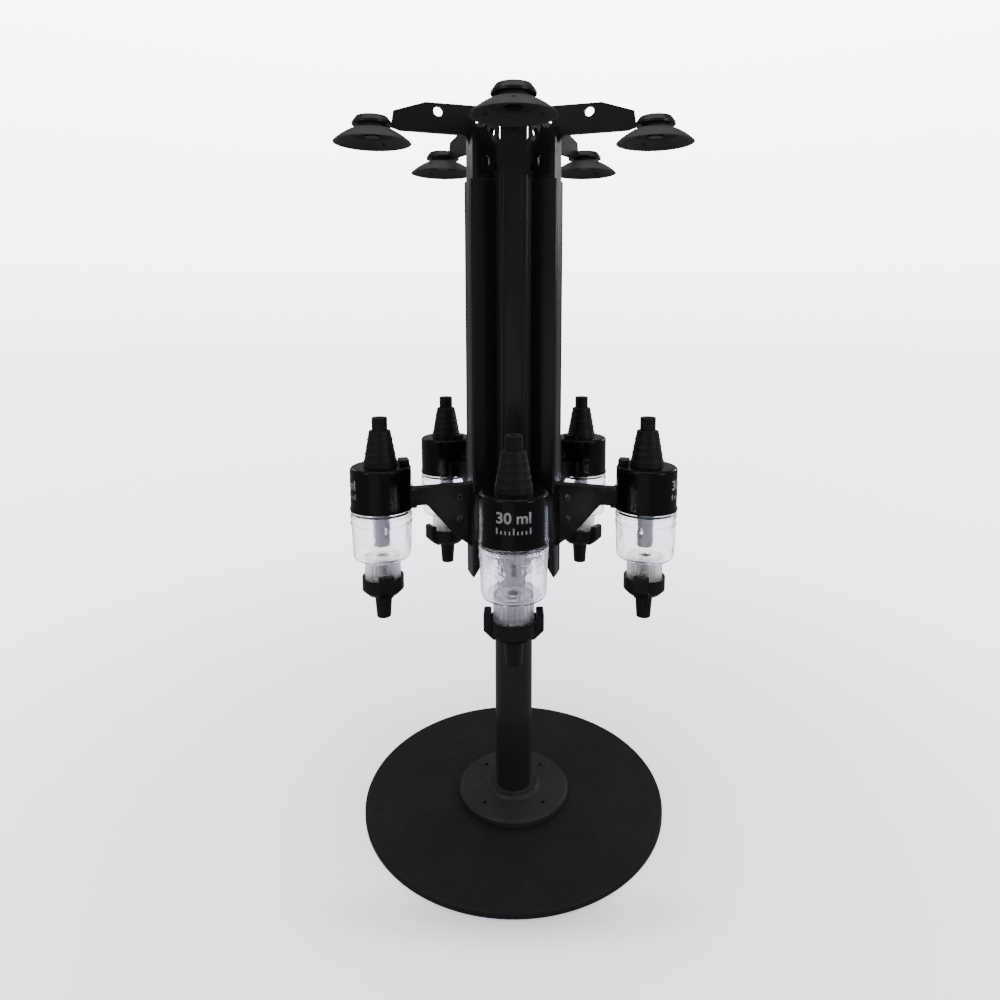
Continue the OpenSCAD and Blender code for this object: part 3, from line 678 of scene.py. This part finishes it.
def add_bevel(piece: Piece, width: float, segments: int = 2, angle: float = 35.0) -> None:
    """Rounds a piece's sharp edges with an applied modifier.

    Args:
        piece: The piece.
        width: Width of the rounding, in metres.
        segments: Steps across the rounding.
        angle: Edges that turn by less than this many degrees stay as they are.
    """
    modify(piece, "round edges", "BEVEL", width=width, segments=segments, limit_method="ANGLE",
           angle_limit=math.radians(angle))


def shade(piece: Piece, angle: float = SHADE_ANGLE) -> None:
    """Smooths a piece's shading where its faces turn by less than the angle, in degrees."""
    activate(piece)
    bpy.ops.object.shade_smooth_by_angle(angle=math.radians(angle))


def settle(piece: Piece, place: Place, finish: Surface) -> Piece:
    """Ends the making of a piece: its place goes into its mesh, and it gets name, finish and body.

    Args:
        piece: The shaped piece.
        place: Where it belongs.
        finish: Its finish.

    Returns:
        The same piece.
    """
    fix_place(piece)
    piece.name = piece.data.name = place.name
    piece.data.materials.clear()
    piece.data.materials.append(finish.material())
    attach(piece, place.body)
    if place.node:
        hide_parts(place.node)
    log.info("%s: %d faces on %s", place.name, len(piece.data.polygons), place.body)
    return piece


def copied(piece: Piece, location: Sequence[float] = (0, 0, 0), rotation: Triple = (0, 0, 0)) -> Piece:
    """Copies a piece with a mesh of its own, and puts the copy's place into that mesh.

    Args:
        piece: The piece to copy.
        location: Shift of the copied mesh, in metres.
        rotation: Turn of the copy about the origin's X, Y and Z, in radians.

    Returns:
        The copy.
    """
    twin = placed(piece.name, piece.data.copy())
    twin.location = location
    twin.rotation_euler = rotation
    fix_place(twin)
    return twin


def settle_round(piece: Piece, place: Place, finish: Surface) -> dict[Station, Piece]:
    """Copies the front station's piece to the other stations, and settles all five.

    Args:
        piece: The piece, shaped at the front station.
        place: Where it belongs, without the station's word.
        finish: Its finish.

    Returns:
        The piece of each station.
    """
    fix_place(piece)
    twins = {Station.FRONT: piece}
    for station in list(Station)[1:]:
        twins[station] = copied(piece, rotation=(0, 0, station.turn))
    for station, twin in twins.items():
        settle(twin, place.at(station), finish)
    return twins


def dress(node: str, finish: Surface) -> None:
    """Gives a CAD node that stays as it is its finish.

    Args:
        node: The node's name.
        finish: Its finish.
    """
    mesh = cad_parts[node].data
    if not mesh.materials:
        mesh.materials.append(None)
    for index in range(len(mesh.materials)):
        mesh.materials[index] = finish.material()
    log.info("%s: dressed in %s", node, finish.name)


@dataclass(frozen=True)
class Moulding:
    """A CAD node, or one of every station, that is shown by a copy with edges rounded by a width in metres.

    Where there is one of every station, node and body are named without the station's word.
    """

    node: str
    body: str
    slot: str
    finish: Surface
    width: float
    segments: int = 2

    @property
    def place(self) -> Place:
        """Where the copy belongs."""
        return Place(f"{self.node}_moulded", self.body, self.slot, self.node)

    def softened(self, node: str) -> Piece:
        """Copies a CAD node's mesh and rounds the copy's edges.

        Args:
            node: The CAD node's whole name.

        Returns:
            The new piece.
        """
        piece = placed(f"{node}_moulded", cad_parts[node].data.copy())
        with editing(piece):
            bpy.ops.mesh.remove_doubles(threshold=MERGE_DISTANCE)
            bpy.ops.mesh.dissolve_limited(angle_limit=math.radians(FLAT_ANGLE))
        add_bevel(piece, self.width, self.segments)
        shade(piece)
        modify(piece, "flat faces", "WEIGHTED_NORMAL", keep_sharp=True)
        return piece

    def build(self) -> Piece:
        """Replaces the one CAD node, or those of all stations.

        Returns:
            The piece, or the front one.
        """
        if self.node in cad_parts:
            return settle(self.softened(self.node), self.place, self.finish)
        piece = self.softened(f"{self.node}_{Station.FRONT.value}")
        return settle_round(piece, self.place, self.finish)[Station.FRONT]


def ring_bead(radius: float, thickness: float, flatten: float) -> Piece:
    """Makes a round bead about the Z axis, flattened where it is pressed.

    Args:
        radius: Radius to the bead's middle line, in metres.
        thickness: Thickness of the bead, in metres.
        flatten: Share of its height that is left.

    Returns:
        The bead, about the origin.
    """
    bead = added(bpy.ops.mesh.primitive_torus_add, major_radius=radius, minor_radius=thickness / 2,
                 major_segments=ROUND_STEPS, minor_segments=12)
    with editing(bead):
        bpy.ops.transform.resize(value=(1, 1, flatten))
    shade(bead)
    return bead


def button_head(diameter: float, height: float, socket: float, rounding: float = 0.55,
                depth: float = 0.6) -> Piece:
    """Makes a round screw head with a hexagon socket, with the middle of its mesh half way up.

    Args:
        diameter: Diameter of the head, in metres.
        height: Height of the head, in metres.
        socket: Width across the socket's flats, in metres.
        rounding: Width of the rounded edge, as a share of the height.
        depth: Depth of the socket, as a share of the height.

    Returns:
        The head.
    """
    head = added(bpy.ops.mesh.primitive_cylinder_add, vertices=36, radius=diameter / 2, depth=height,
                 location=(0, 0, height / 2))
    with editing(head):
        pick_faces(head, lambda middle, normal: normal.z > FACING_UP)
        bpy.ops.mesh.bevel(offset=height * rounding, segments=5, affect="EDGES", profile=0.5)
        pick_faces(head, lambda middle, normal: normal.z > LEVEL and middle.length < diameter)
        bpy.ops.mesh.delete(type="FACE")
    with editing(head):
        bpy.ops.mesh.fill_holes(sides=0)
    cutter = added(bpy.ops.mesh.primitive_cylinder_add, vertices=6, radius=socket / math.sqrt(3),
                   depth=height, location=(0, 0, height * (1.5 - depth)))
    modify(head, "socket", "BOOLEAN", operation="DIFFERENCE", object=cutter)
    bpy.data.objects.remove(cutter)
    shade(head)
    return head


def axis_of(node: str) -> Vector:
    """Gives the foot of a CAD node's middle line, at the height of its underside."""
    low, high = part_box(node)
    return Vector(((low.x + high.x) / 2, (low.y + high.y) / 2, low.z))


@dataclass(frozen=True)
class Spring:
    """A wound spring of every station: radius to the wire's middle, wire, turns and travel."""

    radius: float
    wire: float
    turns: int
    travel: float
    wire_sides: int = 10
    turn_steps: int = 40

    def wound(self, low: float, high: float) -> Piece:
        """Winds a round wire into a spring about the Z axis.

        Args:
            low: Height of the spring's lower end, in metres.
            high: Height of its upper end, in metres.

        Returns:
            The spring, at the column's axis.
        """
        spring = added(
            bpy.ops.mesh.primitive_circle_add, vertices=self.wire_sides, radius=self.wire / 2,
            location=(self.radius, 0, low + self.wire / 2), rotation=(math.pi / 2, 0, 0))
        fix_place(spring)
        rise = (high - low - self.wire) / self.turns
        modify(spring, "winding", "SCREW", axis="Z", angle=2 * math.pi, screw_offset=rise,
               iterations=self.turns, steps=self.turn_steps, render_steps=self.turn_steps,
               use_merge_vertices=False)
        with editing(spring):
            bpy.ops.mesh.fill_holes(sides=0)
            bpy.ops.mesh.normals_make_consistent(inside=False)
        shade(spring, COARSE_ANGLE)
        return spring

    def build(self, kind: str, body: str, joint: str, middle: Vector) -> None:
        """Winds the springs that stand for one kind of CAD spring.

        Args:
            kind: First word of the springs' names.
            body: Name of their bodies, without the station's word.
            joint: Name of their joints, without the station's word; not used.
            middle: A point on the front spring's middle line.
        """
        low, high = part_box(f"{kind}_spring_front")
        coil = self.wound(low.z, high.z)
        coil.location = (middle.x, middle.y, 0)
        place = Place(f"{kind}_coil", body, "spring_steel", f"{kind}_spring")
        coils = settle_round(coil, place, SPRING_STEEL)
        for station, wound in coils.items():
            anchor = station.place(-middle.y, 0, high.z)
            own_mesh(wound)


@dataclass
class Stand:
    """The still pieces: base plate, pad, flange with its screws, pole and thrust collar."""

    weld_thickness: float = 2.2 * MM
    weld_flatten: float = 0.9
    weld_ripple: float = 0.15 * MM
    weld_ripples: int = 48
    edge: float = 0.5 * MM

    def build(self) -> None:
        """Softens and dresses the stand, and lays the weld bead round the pole's foot."""
        Moulding("base_plate", "stand", "powder_black", BASE_COAT, self.edge, 3).build()
        Moulding("base_flange", "stand", "powder_black", FLANGE_COAT, self.edge, 3).build()
        Moulding("thrust_collar", "stand", "collar_steel", COLLAR_STEEL, self.edge).build()
        dress("pole", POLE_COAT)
        dress("base_pad", PAD_RUBBER)
        dress("flange_screws", SCREW_STEEL)
        self.weld()

    def weld(self) -> None:
        """Lays the rippled weld bead in the corner between pole and flange."""
        flange_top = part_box("base_flange")[1].z
        low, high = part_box("pole")
        bead = ring_bead((high.x - low.x) / 2, self.weld_thickness, self.weld_flatten)
        bead.location.z = flange_top
        sector = 2 * math.pi / self.weld_ripples
        with editing(bead):
            pick_faces(bead, lambda middle, normal: (
                normal.z > 0 and int(math.atan2(middle.y, middle.x) // sector) % 2 == 0))
            bpy.ops.transform.translate(value=(0, 0, self.weld_ripple))
        shade(bead)
        settle(bead, Place("pole_weld", "stand", "powder_black"), FLANGE_COAT)


@dataclass
class Column:
    """The turning pieces that all stations share: core tube, bushes, uprights and bracket hub."""

    upright_edge: float = 0.35 * MM
    hub_edge: float = 0.7 * MM
    screw_diameter: float = 7.0 * MM
    screw_height: float = 2.6 * MM
    screw_socket: float = 3.0 * MM
    screw_radius: float = 57.0 * MM
    screw_side: float = 6.0 * MM
    screw_heights: tuple[float, ...] = (0.312, 0.334)

    def build(self) -> None:
        """Softens and dresses the column, and sets the screw heads on the wings."""
        Moulding("core_tube", "carousel", "hub_black", CORE_BLACK, self.upright_edge).build()
        Moulding("bracket_hub", "carousel", "hub_black", HUB_BLACK, self.hub_edge).build()
        Moulding("upright", "carousel", "column_black", COLUMN_BLACK, self.upright_edge).build()
        dress("guide_bushes", BUSH_IVORY)
        self.wing_screws()

    def wing_screws(self) -> None:
        """Sets two screw heads, sunk to half their height, on each side of every wing."""
        pattern = button_head(self.screw_diameter, self.screw_height, self.screw_socket)
        for side in (-1, 1):
            for level, height in enumerate(self.screw_heights):
                place = Station.FRONT.place(self.screw_radius, side * self.screw_side, height)
                head = copied(pattern, place, (-side * math.pi / 2, 0, Station.FRONT.angle))
                name = f"wing_screw_{'left' if side < 0 else 'right'}_{level}"
                settle_round(head, Place(name, "carousel", "screw_steel"), SCREW_STEEL)
        bpy.data.objects.remove(pattern)


@dataclass
class BottleHeads:
    """The arms and sprung cups that hold the bottles' bases, made in front and copied round."""

    arm_edge: float = 0.8 * MM
    cup_edge: float = 0.5 * MM
    pad_radius: float = 19.0 * MM
    pad_bore: float = 8.0 * MM
    pad_ribs: int = 4
    pad_depth: float = 1.0 * MM
    pad_back: float = 0.4
    pad_edge: float = 0.12 * MM
    plate_rise: float = 7.0 * MM
    spring: Spring = Spring(7.6 * MM, 1.2 * MM, 3, 3.0 * MM)
    cap_diameter: float = 11.0 * MM
    cap_height: float = 2.2 * MM
    cap_socket: float = 5.0 * MM
    head_rise: float = 22.0 * MM
    vent_count: int = 3
    vent_radius: float = 26.0 * MM
    vent_rise: float = 5.55 * MM
    vent_slope: float = 31.0
    plug_diameter: float = 3.7 * MM
    plug_height: float = 1.6 * MM
    plug_rim: float = 0.2
    plug_dimple: Triple = (0.8, 0.8, 0.6)
    plug_edge: float = 0.2 * MM

    def build(self) -> None:
        """Softens the arms and the cups, and adds pads, springs, cap screws and vent plugs."""
        Moulding("bottle_arm", "arm", "arm_black", ARM_BLACK, self.arm_edge, 3).build()
        Moulding("bottle_cup", "cup", "cup_rubber", CUP_RUBBER, self.cup_edge, 3).build()
        self.pads()
        self.spring.build("cup", "arm", "cup_press", self.middle)
        self.cap_screws()
        self.vent_plugs()

    @property
    def middle(self) -> Vector:
        """The front cup's middle line, at the height of its rim."""
        return axis_of("bottle_cup_front")

    def pads(self) -> None:
        """Makes the ribbed ring on the underside of each cup's plate."""
        pad = added(bpy.ops.mesh.primitive_circle_add, vertices=72, radius=self.pad_radius,
                    fill_type="NGON")
        step = (self.pad_radius - self.pad_bore) / (2 * self.pad_ribs - 1)
        back = self.pad_depth * self.pad_back
        with editing(pad):
            for _ in range(2 * self.pad_ribs - 1):
                bpy.ops.mesh.inset(thickness=step)
            bpy.ops.mesh.delete(type="FACE")
            pick_faces(pad, lambda middle, normal: (
                int((self.pad_radius - middle.to_2d().length) / step) % 2 == 0))
            fall = (0, 0, -self.pad_depth * (1 - self.pad_back))
            bpy.ops.mesh.extrude_region_move(TRANSFORM_OT_translate={"value": fall})
        modify(pad, "back", "SOLIDIFY", thickness=back, offset=0.0)
        add_bevel(pad, self.pad_edge, angle=COARSE_ANGLE)
        shade(pad)
        pad.location = self.middle + Vector((0, 0, self.plate_rise - back / 2))
        settle_round(pad, Place("cup_pad", "cup", "cup_rubber"), PAD_RUBBER)

    def cap_screws(self) -> None:
        """Sets the screw head on top of each arm's round head."""
        head = button_head(self.cap_diameter, self.cap_height, self.cap_socket)
        head.location = self.middle + Vector((0, 0, self.head_rise))
        settle_round(head, Place("head_screw", "arm", "screw_steel"), SCREW_STEEL)

    def vent_plugs(self) -> None:
        """Sets a dimpled rubber plug into each vent of every cup, square to the cup's slope."""
        pattern = added(bpy.ops.mesh.primitive_cylinder_add, vertices=24, radius=self.plug_diameter / 2,
                        depth=self.plug_height)
        with editing(pattern):
            pick_faces(pattern, lambda middle, normal: abs(normal.z) > FACING_UP)
            bpy.ops.mesh.inset(thickness=self.plug_diameter * self.plug_rim)
            bpy.ops.transform.resize(value=self.plug_dimple)
        add_bevel(pattern, self.plug_edge)
        shade(pattern)
        for index in range(self.vent_count):
            turn = Station.FRONT.angle + 2 * math.pi * index / self.vent_count
            way = Vector((math.cos(turn), math.sin(turn), 0))
            place = self.middle + way * self.vent_radius + Vector((0, 0, self.vent_rise))
            plug = copied(pattern, place, (0, math.radians(self.vent_slope), turn))
            settle_round(plug, Place(f"vent_plug_{index}", "cup", "cup_rubber"), PAD_RUBBER)
        bpy.data.objects.remove(pattern)


@dataclass
class Measures:
    """The measures with their clear chambers and press yokes, made in front and copied round."""

    body_edge: float = 0.35 * MM
    tube_edge: float = 0.2 * MM
    chamber_edge: float = 0.2 * MM
    stopper_edge: float = 0.35 * MM
    yoke_edge: float = 0.5 * MM
    seal_thickness: float = 1.6 * MM
    seal_flatten: float = 0.7
    seal_sunk: float = 0.35
    seal_land: float = 0.996
    seal_slope: float = 0.6
    spring: Spring = Spring(9.2 * MM, 1.2 * MM, 6, 8.0 * MM)
    print_depth: float = 0.2 * MM
    print_start: float = 40.0 * MM
    letters: str = "30 ml"
    letter_size: float = 12.5 * MM
    letter_rise: float = 25.5 * MM
    letter_weight: float = 0.02
    tick_count: int = 9
    tick_pitch: float = 3.3 * MM
    tick_rise: float = 12.8 * MM
    tick_height: float = 5.0 * MM
    tick_short: float = 0.55
    tick_width: float = 1.1 * MM

    def build(self) -> None:
        """Softens and dresses the measures, and adds seals, springs and prints."""
        body = Moulding("measure_body", "carousel", "body_black", BODY_BLACK, self.body_edge, 3).build()
        Moulding("metering_tube", "carousel", "tube_grey", TUBE_GREY, self.tube_edge).build()
        Moulding("bottle_stopper", "carousel", "stopper_rubber", STOPPER_RUBBER, self.stopper_edge).build()
        Moulding("press_yoke", "yoke", "yoke_black", YOKE_BLACK, self.yoke_edge, 3).build()
        Moulding("measure_chamber", "carousel", "chamber_clear", CHAMBER_CLEAR, self.chamber_edge).build()
        self.seals()
        self.spring.build("valve", "carousel", "spout_press", self.middle)
        self.scale_prints(body)

    @property
    def middle(self) -> Vector:
        """The front measure's middle line, at the height of the body's underside."""
        return Vector((*axis_of("measure_chamber_front").xy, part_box("measure_body_front")[0].z))

    def seals(self) -> None:
        """Presses a seal ring into the joint between each body and its chamber."""
        low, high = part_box("measure_chamber_front")
        radius = (high.x - low.x) / 2 - self.seal_thickness * self.seal_sunk
        ring = ring_bead(radius, self.seal_thickness, self.seal_flatten)
        with editing(ring):
            pick_faces(ring, lambda middle, normal: (
                middle.to_2d().length > radius and abs(normal.z) < self.seal_slope))
            bpy.ops.transform.resize(value=(self.seal_land, self.seal_land, 1))
        shade(ring)
        ring.location = self.middle
        settle_round(ring, Place("seal_ring", "carousel", "stopper_rubber"), STOPPER_RUBBER)

    def scale_prints(self, body: Piece) -> None:
        """Prints a plain volume and a row of ticks on the outward side of each body.

        Args:
            body: The front body, onto which the print is laid.
        """
        rows = [self.lettering()] + [self.tick(index) for index in range(self.tick_count)]
        activate(rows[0])
        for row in rows:
            row.select_set(True)
        bpy.ops.object.join()
        label = bpy.context.object
        fix_place(label)
        label.location = Station.FRONT.place(self.print_start - self.middle.y, 0, self.middle.z)
        label.rotation_euler = (0, 0, Station.FRONT.angle)
        modify(label, "onto the body", "SHRINKWRAP", wrap_method="PROJECT", target=body, use_project_x=True,
               use_positive_direction=False, use_negative_direction=True, wrap_mode="ABOVE_SURFACE",
               offset=self.print_depth / 2)
        modify(label, "ink", "SOLIDIFY", thickness=self.print_depth, offset=0.0)
        with editing(label):
            bpy.ops.mesh.normals_make_consistent(inside=False)
        settle_round(label, Place("scale_print", "carousel", "body_black"), SCALE_WHITE)

    def lettering(self) -> Piece:
        """Makes the row of upright letters, centred on the print and cut across at every millimetre.

        Returns:
            The letters, in the plane X = 0 with Y sideways.
        """
        row = added(bpy.ops.object.text_add, location=(0, 0, self.letter_rise), rotation=UPRIGHT)
        row.data.body = self.letters
        row.data.size = self.letter_size
        row.data.offset = self.letter_size * self.letter_weight
        row.data.align_x = row.data.align_y = "CENTER"
        row.data.resolution_u = 5
        bpy.ops.object.convert(target="MESH")
        row = bpy.context.object
        reach = int(self.letter_size * len(self.letters) / MM / 2)
        with editing(row):
            bpy.ops.mesh.remove_doubles(threshold=0.01 * MM)
            for step in range(-reach, reach + 1):
                bpy.ops.mesh.select_all(action="SELECT")
                bpy.ops.mesh.bisect(plane_co=(0, step * MM, self.letter_rise), plane_no=(0, 1, 0))
        return row

    def tick(self, index: int) -> Piece:
        """Makes one tick of the row below the letters, taller at the ends and in the middle.

        Args:
            index: Which tick, from the left.

        Returns:
            The tick, in the plane X = 0.
        """
        middle = (self.tick_count - 1) // 2
        offset = (index - middle) * self.tick_pitch
        height = self.tick_height * (1.0 if index % middle == 0 else self.tick_short)
        mark = added(bpy.ops.mesh.primitive_plane_add, size=1.0,
                     location=(0, offset, self.tick_rise + height / 2), rotation=UPRIGHT)
        with editing(mark):
            bpy.ops.transform.resize(value=(1, self.tick_width, height), orient_type="GLOBAL")
            bpy.ops.mesh.subdivide(number_cuts=2)
        return mark


@dataclass(frozen=True)
class Lamp:
    """A soft round lamp: where it hangs, how wide it is and how strong."""

    name: str
    place: Triple
    width: float
    power: float


@dataclass
class Studio:
    """Pale floor and backdrop, soft light and the camera at the photograph's angle."""

    distance: float = 0.687
    height: float = 0.5193
    tilt: float = 0.13
    focal_pixels: float = 700.8
    frame_pixels: float = 1000.0
    axis_x: float = 513.7
    horizon_y: float = 396.7
    sensor: float = 36.0
    room_radius: float = 9.0
    sky_colour: Triple = (0.86, 0.89, 0.93)
    sky_strength: float = 0.25
    aim: Triple = (0.0, 0.0, 0.4)
    lamps: tuple[Lamp, ...] = (
        Lamp("overhead", (0.0, -0.1, 2.0), 1.6, 7.0),
        Lamp("key", (-1.5, -1.3, 1.6), 0.8, 5.0),
        Lamp("fill", (1.6, -1.2, 1.0), 0.8, 5.5),
        Lamp("bounce", (-0.5, -1.6, 0.15), 1.2, 1.0),
        Lamp("rim right", (1.3, 1.1, 0.9), 0.5, 4.0),
        Lamp("rim left", (-1.2, 1.3, 1.2), 0.5, 2.0),
    )

    def build(self) -> None:
        """Sets up floor, backdrop, lamps and camera."""
        self.floor()
        self.backdrop()
        self.lights()
        self.camera()

    def as_stage(self, surface: Piece, name: str, glow: Glow) -> None:
        """Makes a surface part of the studio: seen, but giving the object no light of its own.

        Args:
            surface: The surface.
            name: Its name.
            glow: Its finish.
        """
        surface.name = name
        surface.data.materials.append(glow.material())
        surface.visible_diffuse = surface.visible_glossy = surface.visible_shadow = False

    def floor(self) -> None:
        """Lays a wide pale floor under the object."""
        ground = added(bpy.ops.mesh.primitive_circle_add, vertices=ROUND_STEPS, radius=self.room_radius,
                       fill_type="NGON")
        self.as_stage(ground, "floor", FLOOR_GLOW)

    def backdrop(self) -> None:
        """Stands a pale round wall with a domed top about the floor."""
        room = added(bpy.ops.mesh.primitive_uv_sphere_add, segments=ROUND_STEPS,
                     ring_count=ROUND_STEPS // 2, radius=self.room_radius)
        with editing(room):
            bpy.ops.mesh.bisect(plane_co=(0, 0, 0), plane_no=(0, 0, 1), clear_inner=True)
            bpy.ops.mesh.select_all(action="SELECT")
            bpy.ops.mesh.flip_normals()
        bpy.ops.object.shade_smooth()
        self.as_stage(room, "backdrop", ROOM_GLOW)

    def lights(self) -> None:
        """Hangs the soft lamps, aimed at the column, and fills the room with pale light."""
        for lamp in self.lamps:
            data = bpy.data.lights.new(lamp.name, "AREA")
            data.shape = "DISK"
            data.size = lamp.width
            data.energy = lamp.power
            hung = placed(lamp.name, data)
            hung.location = lamp.place
            way = Vector(self.aim) - Vector(lamp.place)
            hung.rotation_euler = way.to_track_quat("-Z", "Y").to_euler()
        world = bpy.data.worlds.new("pale room")
        world.use_nodes = True
        sky = world.node_tree.nodes["Background"]
        sky.inputs["Color"].default_value = (*self.sky_colour, 1)
        sky.inputs["Strength"].default_value = self.sky_strength
        bpy.context.scene.world = world

    def camera(self) -> None:
        """Sets the camera where the photograph was taken from."""
        data = bpy.data.cameras.new("camera")
        data.sensor_width = self.sensor
        data.lens = self.focal_pixels / self.frame_pixels * self.sensor
        data.shift_x = 0.5 - self.axis_x / self.frame_pixels
        data.shift_y = self.horizon_y / self.frame_pixels - 0.5
        camera = placed("camera", data)
        camera.location = (0, -self.distance, self.height)
        camera.rotation_euler = (math.pi / 2 - self.tilt, 0, 0)
        bpy.context.scene.camera = camera


def main() -> None:
    """Builds every sub-assembly in order, then the studio."""
    logging.basicConfig(level=logging.INFO, format="%(name)s: %(message)s")
    Studio().build()
    Stand().build()
    Column().build()
    BottleHeads().build()
    Measures().build()
    clear_selection()


if __name__ == "__main__":
    main()
